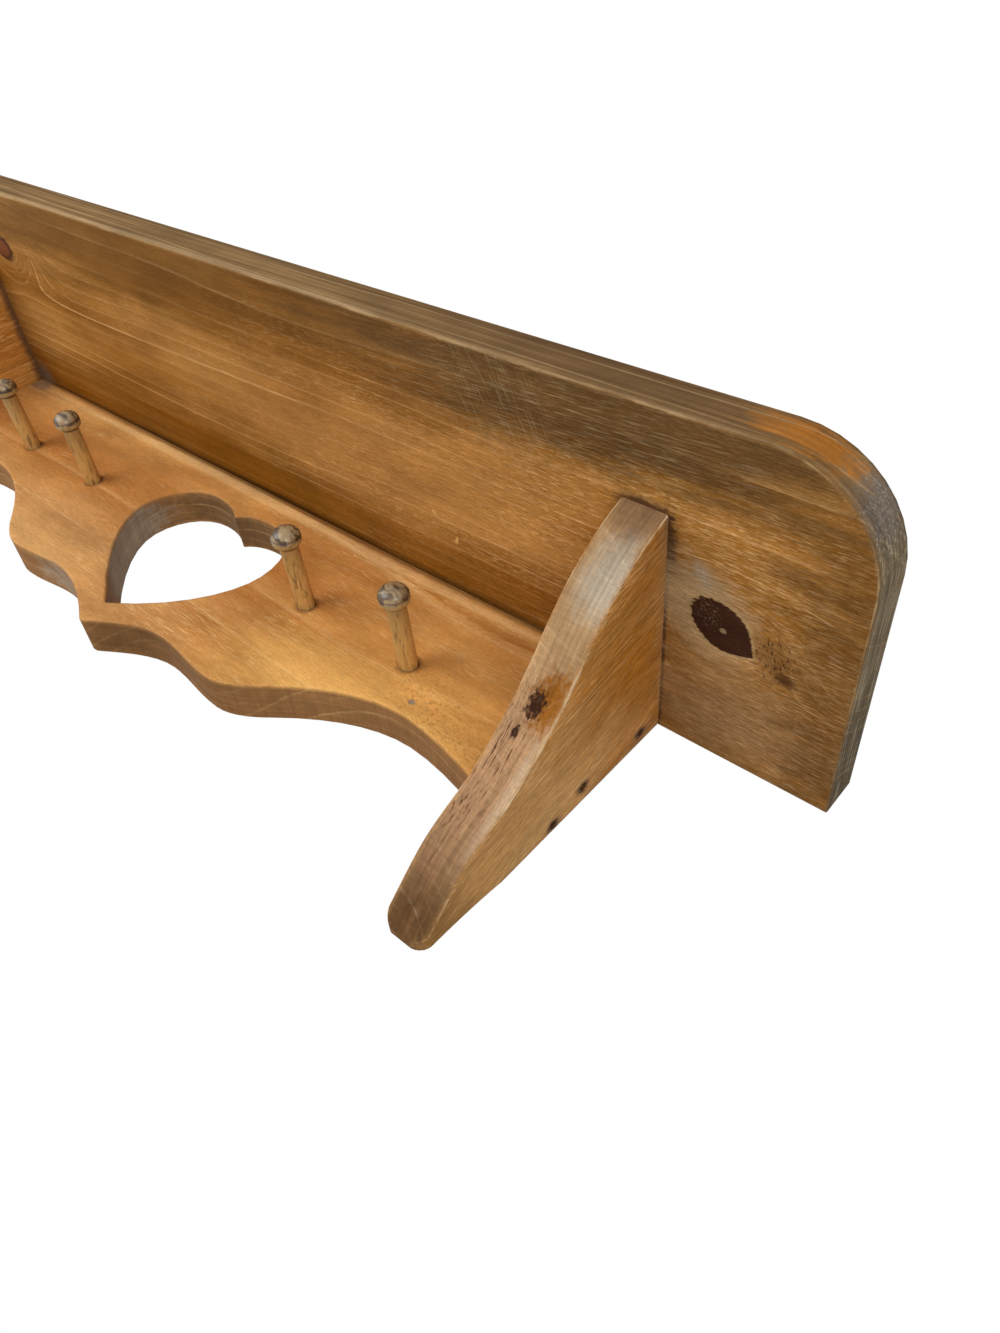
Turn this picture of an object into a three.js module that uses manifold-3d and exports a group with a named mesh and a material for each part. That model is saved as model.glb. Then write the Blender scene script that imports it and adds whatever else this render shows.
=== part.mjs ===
// A pine wall shelf: a shelf board with round front corners on two scrolled brackets, and between them
// a back board with a heart sawn through it, a scalloped lower edge and four mushroom pegs.
// Millimetres. X runs along the wall, the room is towards -Y, Z is up, and the wall is the plane Y = 0.
// The origin is the middle of the shelf board's back edge.
import * as THREE from "three";
import { mergeVertices, toCreasedNormals } from "three/addons/utils/BufferGeometryUtils.js";
import Module from "manifold-3d";

const wasm = await Module();
wasm.setup();

// Every board is planed to one thickness, and its free edges are eased by hand.
const boardThickness = 19;
const arris = 1.2;

const shelfLength = 620;
const shelfDepth = 134;
const shelfCornerRadius = 39.5;
const overhang = 70.5;

const bracketDepth = 98;
const bracketHeight = 131.5;
const toeRise = 7.5;

// The heart, the scallops and the row of pegs were marked out by eye, each a little to the right.
const scallopCentre = 11.5;
const pegRowCentre = 3;
const pegHeight = -47;
const innerPegSpacing = 173;
const outerPegSpacing = 299;

const peg = {
  shaftRadius: 4,
  tenon: 14,
  standOut: 39.5,
  headRadius: 6.2,
  headThickness: 4.8,
  rim: 1.5,
  chamfer: 0.7,
};

// Finish nails, punched below the wood.
const nail = {
  length: 38,
  point: 3,
  shankRadius: 0.9,
  headRadius: 1.35,
  headThickness: 1.8,
  setDepth: 1.5,
};

// A keyhole slot in each bracket's back edge takes the head of a wall screw.
const keyhole = {
  headRadius: 4.75,
  neckRadius: 2.6,
  neckDepth: 3.4,
  depth: 10.5,
  entryRise: 0.5,
  rise: 12,
  entryBelowShelf: 36.5,
};

// Nails through each bracket into the end of the back board.
const sideNails = [
  { fromWall: 6.2, belowShelf: 12 },
  { fromWall: 8.2, belowShelf: 47.2 },
  { fromWall: 3.8, belowShelf: 64.6 },
];

// Nails down through the shelf board, into the tops of the brackets and of the back board.
const bracketNailsFromWall = [30, 76];
const railNailsFromMiddle = [72, 185];

// Clearance round a peg or nail, and how far a cutter starts outside the face that it cuts.
const fitGap = 0.3;
const overrun = 2;

// Fineness of the curves.
const curveSteps = 7;
const cornerSteps = 5;
const toeSteps = 8;
const arrisSteps = 2;
const headSteps = 5;
const pegSides = 20;
const nailSides = 10;
const keyholeSteps = 5;
const creaseAngle = Math.PI / 5;

const underside = -boardThickness / 2;
const bracketOuterFace = shelfLength / 2 - overhang;
const bracketInnerFace = bracketOuterFace - boardThickness;
const bracketMiddle = (bracketOuterFace + bracketInnerFace) / 2;
const sides = [-1, 1];
const quarterTurn = Math.PI / 2;

// Sawn outlines are chains of Bezier curves: each row has two handles and the point that it runs to,
// with y measured from the shelf's underside.

// The back board's lower edge, from just inside a bracket to the hollow beside the middle point.
const scallop = {
  start: [236, -85.6],
  curves: [
    [210, -77.5, 180, -68, 159, -68], // outer half of the arch over the end pegs
    [141, -68, 121.5, -76.5, 102, -91], // inner half of the arch
    [95.5, -96, 86.5, -101.5, 78, -101.5], // round of the drop beside it
    [65.5, -101.5, 54.5, -98, 42.5, -98], // shallow hollow
  ],
};

// The blunt point under the heart, from one hollow to the other, x along the wall.
const middlePoint = {
  start: [-31, -98],
  curves: [
    [-17, -98, -2, -104.6, 10.6, -112], // left flank
    [12, -112.8, 12.8, -113.3, 14, -113.3], // left half of the tip
    [15.2, -113.3, 16, -112.8, 17.4, -112], // right half of the tip
    [29, -105.2, 41, -98, 54, -98], // right flank
  ],
};

// The heart, sawn by eye and a little lopsided, from its cleft round to the right, x along the wall.
const heart = {
  start: [7, -23.5],
  curves: [
    [11.5, -19, 19, -17, 27, -17], // top of the right lobe
    [45, -17, 56, -30, 56, -46], // round of the right lobe
    [56, -60, 43, -82, 13, -99.5], // right side down to the tip
    [-21, -79, -41, -58, -41, -44], // left side up from the tip
    [-41, -28.5, -29, -17.5, -15, -17.5], // round of the left lobe
    [-6, -17.5, 1, -19.5, 7, -23.5], // top of the left lobe
  ],
};

// A bracket's free edge, from the shelf down the front and back to the wall, x out from the wall.
const bracketEdge = {
  start: [bracketDepth, 0],
  curves: [
    [94, -12, 86, -27, 70, -42], // nose
    [56.5, -52.5, 37.5, -77, 33.5, -88], // hollow
    [31, -94.5, 28, -103, 22.5, -110.5], // swell
    [18, -116.5, 12, -123, 7.5, -128.5], // foot
    [6.6, -bracketHeight, 3.2, -bracketHeight, 3.2, -129], // toe
    [3.2, -114, 1.5, -100, 0, -92], // heel, eased off the wall
  ],
};

const wood = (color, roughness) => new THREE.MeshStandardMaterial({ color, roughness, metalness: 0 });
const shelfPine = wood(0x86592a, 0.5);
const railPine = wood(0xb17c3f, 0.45);
const bracketPine = wood(0xa2703a, 0.5);
const pegWood = wood(0x9c7446, 0.4);
const nailIron = new THREE.MeshStandardMaterial({ color: 0x2e2724, roughness: 0.7, metalness: 0.6 });

/** Runs a path along a chain of curves, its x measured from a centre, leftwards where side is -1. */
function follow(path, { curves }, side = 1, centre = 0) {
  const at = (x) => centre + side * x;
  for (const [ax, ay, bx, by, x, y] of curves) {
    path.bezierCurveTo(at(ax), ay, at(bx), by, at(x), y);
  }
}

/** The same chain of curves, run from its end back to its start. */
function reversed({ start, curves }) {
  const stops = [start, ...curves.map((curve) => curve.slice(4))];
  const back = curves.map(([ax, ay, bx, by], i) => [bx, by, ax, ay, ...stops[i]]);
  return { start: stops.at(-1), curves: back.reverse() };
}

/** A closed geometry, moved by a matrix, as a solid that can be cut. */
function solidOf(geometry, matrix = new THREE.Matrix4()) {
  const bare = new THREE.BufferGeometry();
  bare.setAttribute("position", geometry.getAttribute("position").clone());
  bare.setIndex(geometry.index);
  const merged = mergeVertices(bare.applyMatrix4(matrix));
  const vertProperties = merged.getAttribute("position").array;
  const triVerts = new Uint32Array(merged.index.array);
  return new wasm.Manifold(new wasm.Mesh({ numProp: 3, vertProperties, triVerts }));
}

/** A solid as a geometry again, shaded smooth over its curves and sharp at its corners. */
function geometryOf(solid) {
  const { vertProperties, triVerts } = solid.getMesh();
  const geometry = new THREE.BufferGeometry();
  geometry.setAttribute("position", new THREE.BufferAttribute(vertProperties, 3));
  geometry.setIndex(new THREE.BufferAttribute(triVerts, 1));
  return toCreasedNormals(geometry, creaseAngle);
}

/** Cuts tools, each a geometry with its place in the scene, out of a mesh. */
function cut(mesh, tools) {
  const toMesh = mesh.matrixWorld.clone().invert();
  let solid = solidOf(mesh.geometry);
  for (const { geometry, matrixWorld } of tools) {
    const place = new THREE.Matrix4().multiplyMatrices(toMesh, matrixWorld);
    solid = solid.subtract(solidOf(geometry, place));
  }
  mesh.geometry = geometryOf(solid);
}

/** A plate of a shape between two levels. */
function plate(shape, from, to, curveSegments) {
  const flat = { depth: to - from, bevelEnabled: false, curveSegments };
  return new THREE.ExtrudeGeometry(shape, flat).translate(0, 0, from);
}

/** A board of a shape, with its arrises eased. */
function easedBoard(shape, curveSegments) {
  const eased = {
    depth: boardThickness - 2 * arris,
    bevelThickness: arris,
    bevelSize: arris,
    bevelOffset: -arris,
    bevelSegments: arrisSteps,
    curveSegments,
  };
  return new THREE.ExtrudeGeometry(shape, eased).translate(0, 0, arris);
}

/** What lies below the shelf and between two ends, where a board is sawn square to meet its neighbours. */
function joint(left, right) {
  const lowest = -bracketHeight - overrun;
  const limits = new THREE.Shape();
  limits.moveTo(left, lowest).lineTo(right, lowest).lineTo(right, 0).lineTo(left, 0);
  return plate(limits, -overrun, boardThickness + overrun, 1);
}

/** A bracket's outline from the front, with its toe rounded between the two faces. */
function roundedToe() {
  const half = boardThickness / 2;
  const front = new THREE.Shape();
  front.moveTo(0, overrun);
  front.lineTo(-boardThickness, overrun);
  front.absellipse(-half, toeRise - bracketHeight, half, toeRise, Math.PI, 2 * Math.PI);
  return plate(front, -overrun, bracketDepth + overrun, toeSteps).rotateY(quarterTurn);
}

/** A board cut back to what lies within each of some limits. */
function within(board, limits) {
  const solid = limits.reduce((kept, limit) => kept.intersect(solidOf(limit)), solidOf(board));
  return geometryOf(solid);
}

/** Names a mesh and puts it in a group. */
function add(group, name, geometry, material) {
  const mesh = new THREE.Mesh(geometry, material);
  mesh.name = name;
  group.add(mesh);
  return mesh;
}

/** The shelf board from above: square at the wall, round at the front corners. */
function shelfPlan() {
  const half = shelfLength / 2;
  const cornerX = half - shelfCornerRadius;
  const cornerY = shelfCornerRadius - shelfDepth;
  const plan = new THREE.Shape();
  plan.moveTo(half, 0);
  plan.lineTo(-half, 0);
  plan.absarc(-cornerX, cornerY, shelfCornerRadius, Math.PI, 3 * quarterTurn);
  plan.absarc(cornerX, cornerY, shelfCornerRadius, -quarterTurn, 0);
  return plan;
}

/** The back board from the front. */
function railFront() {
  const [reach, endY] = scallop.start;
  const front = new THREE.Shape();
  front.moveTo(scallopCentre + reach, overrun);
  front.lineTo(scallopCentre - reach, overrun);
  front.lineTo(scallopCentre - reach, endY);
  follow(front, scallop, -1, scallopCentre);
  follow(front, middlePoint);
  follow(front, reversed(scallop), 1, scallopCentre);
  const cutOut = new THREE.Path();
  cutOut.moveTo(...heart.start);
  follow(cutOut, heart);
  front.holes.push(cutOut);
  return front;
}

/** A bracket from its side, x out from the wall. */
function bracketSide() {
  const side = new THREE.Shape();
  side.moveTo(0, overrun);
  side.lineTo(bracketDepth, overrun);
  side.lineTo(...bracketEdge.start);
  follow(side, bracketEdge);
  return side;
}

/** A peg about +Y: tenon below 0, shaft above it, and a low dome with a rounded rim as its head. */
function pegProfile() {
  const { shaftRadius, tenon, standOut, headRadius, headThickness, rim, chamfer } = peg;
  const headBase = standOut - headThickness;
  const profile = new THREE.Path();
  profile.moveTo(0, -tenon);
  profile.lineTo(shaftRadius - chamfer, -tenon);
  profile.lineTo(shaftRadius, chamfer - tenon);
  profile.lineTo(shaftRadius, headBase - chamfer);
  profile.lineTo(headRadius - chamfer, headBase);
  profile.quadraticCurveTo(headRadius, headBase, headRadius, headBase + chamfer);
  profile.lineTo(headRadius, headBase + rim);
  profile.quadraticCurveTo(headRadius - chamfer, standOut, 0, standOut);
  return profile.getPoints(headSteps);
}

/** The blind bore that a peg's tenon stands in. */
function pegBore() {
  const radius = peg.shaftRadius + fitGap;
  const profile = [[0, -peg.tenon], [radius, -peg.tenon], [radius, overrun], [0, overrun]];
  return new THREE.LatheGeometry(vectors(profile), pegSides);
}

/** A nail about +Y, or with a gap its hole: the head's underside is level in both. */
function nailForm(gap, top) {
  const { length, point, shankRadius, headRadius, headThickness } = nail;
  const profile = [
    [0, -length - gap],
    [shankRadius + gap, point - length],
    [shankRadius + gap, -headThickness],
    [headRadius + gap, -headThickness],
    [headRadius + gap, top],
    [0, top],
  ];
  return new THREE.LatheGeometry(vectors(profile), nailSides);
}

/** Pairs of numbers as the points of a profile. */
function vectors(pairs) {
  return pairs.map(([x, y]) => new THREE.Vector2(x, y));
}

/** A slot with round ends, rising from the origin. */
function slot(radius, rise) {
  const shape = new THREE.Shape();
  shape.absarc(0, 0, radius, Math.PI, 2 * Math.PI);
  shape.absarc(0, rise, radius, 0, Math.PI);
  return shape;
}

/** The three cutters of a keyhole: round entry, narrow neck, and the wide track behind the neck. */
function keyholeCutters(x) {
  const { headRadius, neckRadius, neckDepth, depth, entryRise, rise, entryBelowShelf } = keyhole;
  const entry = plate(slot(headRadius, entryRise), -overrun, depth, keyholeSteps);
  const neck = plate(slot(neckRadius, rise), -overrun, depth, keyholeSteps);
  const track = plate(slot(headRadius, rise), neckDepth, depth, keyholeSteps);
  return [entry, neck, track].map((geometry) => {
    const cutter = new THREE.Mesh(geometry);
    cutter.position.set(x, -entryBelowShelf, 0);
    return cutter;
  });
}

const wallShelf = new THREE.Group();

const shelfBoard = add(wallShelf, "shelf_board", easedBoard(shelfPlan(), cornerSteps), shelfPine);
shelfBoard.position.z = underside;

// What hangs below the shelf is drawn facing the wall: y up from the shelf's underside, z out into the room.
const belowShelf = new THREE.Group();
belowShelf.position.z = underside;
belowShelf.rotation.x = quarterTurn;
wallShelf.add(belowShelf);

const railForm = within(easedBoard(railFront(), curveSteps), [joint(-bracketInnerFace, bracketInnerFace)]);
const backBoard = add(belowShelf, "back_board", railForm, railPine);

const bracketLimits = [joint(-overrun, bracketDepth), roundedToe()];
const bracketForm = within(easedBoard(bracketSide(), curveSteps), bracketLimits);
const brackets = sides.map((side) => {
  const name = side < 0 ? "bracket_left" : "bracket_right";
  const bracket = add(belowShelf, name, bracketForm, bracketPine);
  bracket.rotation.y = -quarterTurn;
  bracket.position.x = side < 0 ? -bracketInnerFace : bracketOuterFace;
  return bracket;
});

const pegOffsets = [-outerPegSpacing, -innerPegSpacing, innerPegSpacing, outerPegSpacing].map((d) => d / 2);
const pegs = pegOffsets.map((offset, i) => {
  const geometry = new THREE.LatheGeometry(pegProfile(), pegSides);
  const mesh = add(belowShelf, `peg_${i + 1}`, geometry, pegWood);
  mesh.rotation.x = quarterTurn;
  mesh.position.set(pegRowCentre + offset, pegHeight, boardThickness);
  return mesh;
});

const nails = [];
for (const side of sides) {
  sideNails.forEach(({ fromWall, belowShelf: drop }, i) => {
    const name = `side_nail_${side < 0 ? "left" : "right"}_${i + 1}`;
    const mesh = add(belowShelf, name, nailForm(0, 0), nailIron);
    mesh.rotation.z = -side * quarterTurn;
    mesh.position.set(side * (bracketOuterFace - nail.setDepth), -drop, fromWall);
    nails.push(mesh);
  });
}

const shelfNailSpots = sides.flatMap((side) => [
  ...bracketNailsFromWall.map((fromWall) => [side * bracketMiddle, fromWall]),
  ...railNailsFromMiddle.map((x) => [side * x, boardThickness / 2]),
]);
shelfNailSpots.forEach(([x, fromWall], i) => {
  const mesh = add(belowShelf, `shelf_nail_${i + 1}`, nailForm(0, 0), nailIron);
  mesh.position.set(x, boardThickness - nail.setDepth, fromWall);
  nails.push(mesh);
});

const keyholes = sides.flatMap((side) => keyholeCutters(side * bracketMiddle));
belowShelf.add(...keyholes);
wallShelf.updateMatrixWorld(true);

const pegHole = pegBore();
const nailHole = nailForm(fitGap, overrun + nail.setDepth);
const tools = [
  ...pegs.map(({ matrixWorld }) => ({ geometry: pegHole, matrixWorld })),
  ...nails.map(({ matrixWorld }) => ({ geometry: nailHole, matrixWorld })),
  ...keyholes,
];
for (const mesh of [shelfBoard, backBoard, ...brackets]) cut(mesh, tools);
belowShelf.remove(...keyholes);

export default wallShelf;
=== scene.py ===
"""A stained pine wall shelf: its boards, brackets, pegs and nails, and the studio that shows them."""

import logging
import math
from dataclasses import dataclass
from enum import Enum
from typing import Optional, Union

import bmesh
import bpy
from mathutils import Matrix, Vector
from mathutils.kdtree import KDTree


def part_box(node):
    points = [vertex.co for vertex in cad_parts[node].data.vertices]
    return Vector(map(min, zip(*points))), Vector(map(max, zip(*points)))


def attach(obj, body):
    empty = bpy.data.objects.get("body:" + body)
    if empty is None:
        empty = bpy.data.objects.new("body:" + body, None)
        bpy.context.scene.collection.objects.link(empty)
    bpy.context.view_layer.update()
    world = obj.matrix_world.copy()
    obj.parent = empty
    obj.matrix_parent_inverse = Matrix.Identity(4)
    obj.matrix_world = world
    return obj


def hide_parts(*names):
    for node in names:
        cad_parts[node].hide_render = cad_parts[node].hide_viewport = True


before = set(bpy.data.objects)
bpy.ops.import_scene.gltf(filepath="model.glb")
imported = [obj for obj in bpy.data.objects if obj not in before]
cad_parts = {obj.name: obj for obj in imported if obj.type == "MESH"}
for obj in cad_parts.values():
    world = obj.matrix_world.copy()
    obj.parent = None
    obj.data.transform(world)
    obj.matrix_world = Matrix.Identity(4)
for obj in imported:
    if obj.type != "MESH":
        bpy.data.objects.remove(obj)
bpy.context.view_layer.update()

MM = 0.001
PER_METRE = 1000.0
WHITE = (1.0, 1.0, 1.0, 1.0)

# A Mix node's sockets for its two colours, then those for its two numbers.
UNDER, OVER = 6, 7
FIRST, SECOND = 2, 3
# The settings of a Mix node that mixes or multiplies colours, of a MapRange node with soft
# ends, and of a Math or VectorMath node that multiplies, or multiplies and adds.
BLEND = {"out": 2, "data_type": "RGBA"}
SHADED = {**BLEND, "blend_type": "MULTIPLY"}
SMOOTH = {"interpolation_type": "SMOOTHSTEP"}
TIMES = {"operation": "MULTIPLY"}
TIMES_PLUS = {"operation": "MULTIPLY_ADD"}

Value = Union[bpy.types.NodeSocket, float, tuple]
Point = tuple[float, float, float]

# The noises of the wood: the length along the grain and the width across it of their marks, in
# millimetres, and a number of its own for each, which moves it away from the others.
SWAY = (260.0, 60.0, 1.0)
WANDER = (60.0, 9.0, 2.0)
LINE_BREAKS = (90.0, 2.4, 3.0)
BROAD_TONES = (120.0, 22.0, 4.0)
PORE_CROWDS = (60.0, 14.0, 7.0)
SPECKS = (2.6, 0.5, 8.0)
CLOUDS = (34.0, 12.0, 10.0)
WORN_CHIPS = (22.0, 22.0, 40.0)
WEAR_GAPS = (36.0, 36.0, 41.0)
FIBRE_SHIFT, PORE_SHIFT, FUZZ_SHIFT, PATCH_SHIFT = 5.0, 6.0, 9.0, 20.0
# How far a noise moves for each step of the board's seed and of its own number, and which share
# of that it moves on each axis.
SEED_STEP = 17.3
SHIFT_STEP = 5.7
SHIFT_SHARES = (1.0, 0.7, 1.3)

# Where in a year the pale late wood line begins, is full, begins to end and ends.
LATE_WOOD = (0.74, 0.91, 0.92, 1.0)
# How far the small wander goes, as a share of a ring, and how fast a knot's pull falls off.
WANDER_SHARE = 0.35
KNOT_FALL = 1.6
# The index of refraction of oiled and waxed wood, and of the polished pegs.
WAXED_IOR = 1.48
POLISHED_IOR = 1.5

# Corners of a CAD mesh nearer than this are one, and a cut nearer to a corner goes through it.
MERGE_WITHIN = 0.002 * MM
CUT_WITHIN = 0.0005 * MM
SHARP_ANGLE = math.radians(50)
# How far the faces beside an eased edge are turned: the least and the most that either faces
# along the thickness, and how much the two differ.
EASED_TURN = (0.2, 0.98)
EASED_DIFFERENCE = 0.3


def linear(hex_colour: str) -> tuple[float, float, float, float]:
    """Turns an sRGB hex colour into the linear one that a shader takes.

    Args:
        hex_colour: six hex digits after a hash sign.

    Returns:
        Linear red, green and blue, and an alpha of 1.
    """
    parts = [int(hex_colour[start : start + 2], 16) / 255 for start in (1, 3, 5)]
    light = [p / 12.92 if p <= 0.04045 else ((p + 0.055) / 1.055) ** 2.4 for p in parts]
    return (light[0], light[1], light[2], 1.0)


def linked(name: str, data: bpy.types.ID) -> bpy.types.Object:
    """Makes an object of its data and links it to the scene.

    Args:
        name: the object's name.
        data: its mesh, lamp or camera.

    Returns:
        The object.
    """
    made = bpy.data.objects.new(name, data)
    bpy.context.scene.collection.objects.link(made)
    return made


def solid(name: str, shape: bmesh.types.BMesh) -> bpy.types.Object:
    """Makes an object of the scene from a shape, and frees the shape.

    Args:
        name: the name of the object and of its mesh.
        shape: its shape, in place.

    Returns:
        The object.
    """
    mesh = bpy.data.meshes.new(name)
    shape.to_mesh(mesh)
    shape.free()
    return linked(name, mesh)


class Axis(Enum):
    """An axis of the object's frame, by its place in a coordinate."""

    X = 0
    Y = 1
    Z = 2


class Outline(Enum):
    """The outline of a patch: a round one, or a drop with a point on its own first axis."""

    ROUND = "round"
    DROP = "drop"


class Side(Enum):
    """The part of a board that a patch lies on."""

    ANY = "any"
    FACE = "broad face"
    EDGE = "sawn edge"


class Graph:
    """A material's node tree, which grows by one node at a time."""

    def __init__(self, owner: Union[bpy.types.Material, bpy.types.World]) -> None:
        """Takes the tree of its owner and empties it.

        Args:
            owner: the material or the world that the nodes belong to.
        """
        owner.use_nodes = True
        self.tree = owner.node_tree
        self.tree.nodes.clear()

    def add(
        self,
        kind: str,
        *inputs: Optional[Value],
        at: Optional[dict] = None,
        out: Union[int, str] = 0,
        **settings: object,
    ) -> bpy.types.NodeSocket:
        """Adds a node with its settings and links.

        Args:
            kind: the node's type, without the words ShaderNode.
            *inputs: what goes into its first inputs, in order; None leaves one as it is.
            at: what goes into other inputs, by place or name.
            out: the output that is wanted, by place or name.
            **settings: the node's own settings.

        Returns:
            The wanted output socket, or the node's first input where it has no output.
        """
        node = self.tree.nodes.new("ShaderNode" + kind)
        for name, value in settings.items():
            setattr(node, name, value)
        for place, value in [*enumerate(inputs), *(at or {}).items()]:
            if value is None:
                continue
            if isinstance(value, bpy.types.NodeSocket):
                self.tree.links.new(value, node.inputs[place])
            else:
                node.inputs[place].default_value = value
        return node.outputs[out] if node.outputs else node.inputs[0]

    def millimetres(self) -> Value:
        """Gives the place on the object, in millimetres."""
        metres = self.add("TexCoord", out="Object")
        return self.add("VectorMath", metres, (PER_METRE,) * 3, **TIMES)


@dataclass(frozen=True)
class Cut:
    """How a board was cut from the log, in millimetres.

    Attributes:
        along: the axis that the grain follows.
        thin: the axis of the board's thickness.
        heart: where the log's heart lies, on the two other axes in order.
        ring: the width of a year's ring.
        sway: how far the grain wanders.
        seed: moves the pattern, so that no two boards are alike.
        tilt: the angle in degrees between the grain and its axis, about the thickness.
    """

    along: Axis
    thin: Axis
    heart: tuple[float, float]
    ring: float
    sway: float
    seed: float
    tilt: float = 0.0


@dataclass(frozen=True)
class Stain:
    """The colours of a stained board, as sRGB hex.

    Attributes:
        dark: the deepest tone of the broad figure.
        mid: the usual tone.
        light: the palest tone of the broad figure.
        line: the hard late wood, which takes less stain and stays pale.
        worn: bare wood at the rubbed edges.
    """

    dark: str
    mid: str
    light: str
    line: str
    worn: str


@dataclass(frozen=True)
class Knot:
    """A knot that the rings bend round, in millimetres.

    Attributes:
        centre: its middle, in the object's frame.
        reach: how far it bends the rings on each axis.
        lift: how many millimetres of ring it adds.
    """

    centre: Point
    reach: Point
    lift: float


@dataclass(frozen=True)
class Patch:
    """A stain, knot heart, scrape, weathered place, painted shade or painted highlight, in millimetres.

    Attributes:
        centre: its middle, in the object's frame.
        radii: half its size on each of its own axes.
        colour: its sRGB hex colour.
        strength: how much it covers, from 0 to 1.
        turn: its turn in degrees about each axis.
        soft: the width of its edge, as a share of its size.
        ragged: how far noise moves its edge, as a share of its size.
        bits: the length along the grain and the width across it of that noise.
        outline: round, or a drop with one pointed end.
        side: the part of the board that it lies on.
        marks: the length and width of the separate marks that it is made of, if any.
    """

    centre: Point
    radii: Point
    colour: str
    strength: float
    turn: Point = (0, 0, 0)
    soft: float = 0.6
    ragged: float = 0.3
    bits: tuple[float, float] = (8, 2)
    outline: Outline = Outline.ROUND
    side: Side = Side.FACE
    marks: Optional[tuple[float, float]] = None

    @property
    def angles(self) -> Point:
        """Its turn in radians."""
        return tuple(math.radians(angle) for angle in self.turn)


@dataclass(frozen=True)
class StainedPine:
    """Planed pine under a brown oil stain and wax, rubbed pale where hands reach it.

    Attributes:
        name: the material's name.
        cut: how the board was cut.
        stain: its colours.
        edge: the colour that the sawn edges have taken, as sRGB hex.
        edge_cover: how much of the figure that colour hides.
        wear: how far the bare wood reaches in from an edge, in millimetres.
        figure: how strongly the pale late wood lines show.
        fleck: how strongly the short pale pores show.
        fibre: how strongly the fibres shade the surface.
        fibre_size: the length and the width of the fibres, in millimetres.
        fibre_fade: where along the grain the fibres begin to show and where they show fully.
        pore_size: the length and the width of the pores, in millimetres.
        edge_lines: how strong the lines along and across the sawn edges are.
        edge_rough: the roughness of the sawn edges.
        edge_figure: how strongly the pale lines show on the sawn edges.
        gloss: the shader's specular level.
        knots: the knots that bend the rings.
        patches: what lies over the figure, from the bottom up.
    """

    name: str
    cut: Cut
    stain: Stain
    edge: str
    edge_cover: float
    wear: float
    figure: float = 0.5
    fleck: float = 0.5
    fibre: float = 0.22
    fibre_size: tuple[float, float] = (9.0, 0.55)
    fibre_fade: tuple[float, float] = (-900.0, -800.0)
    pore_size: tuple[float, float] = (8.0, 0.5)
    edge_lines: tuple[float, float] = (0.2, 0.08)
    edge_rough: float = 0.7
    edge_figure: float = 0.3
    gloss: float = 0.07
    knots: tuple[Knot, ...] = ()
    patches: tuple[Patch, ...] = ()

    def material(self) -> bpy.types.Material:
        """Builds the material.

        Returns:
            The finished material.
        """
        made = bpy.data.materials.new(self.name)
        PineGraph(made, self).build()
        return made


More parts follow.
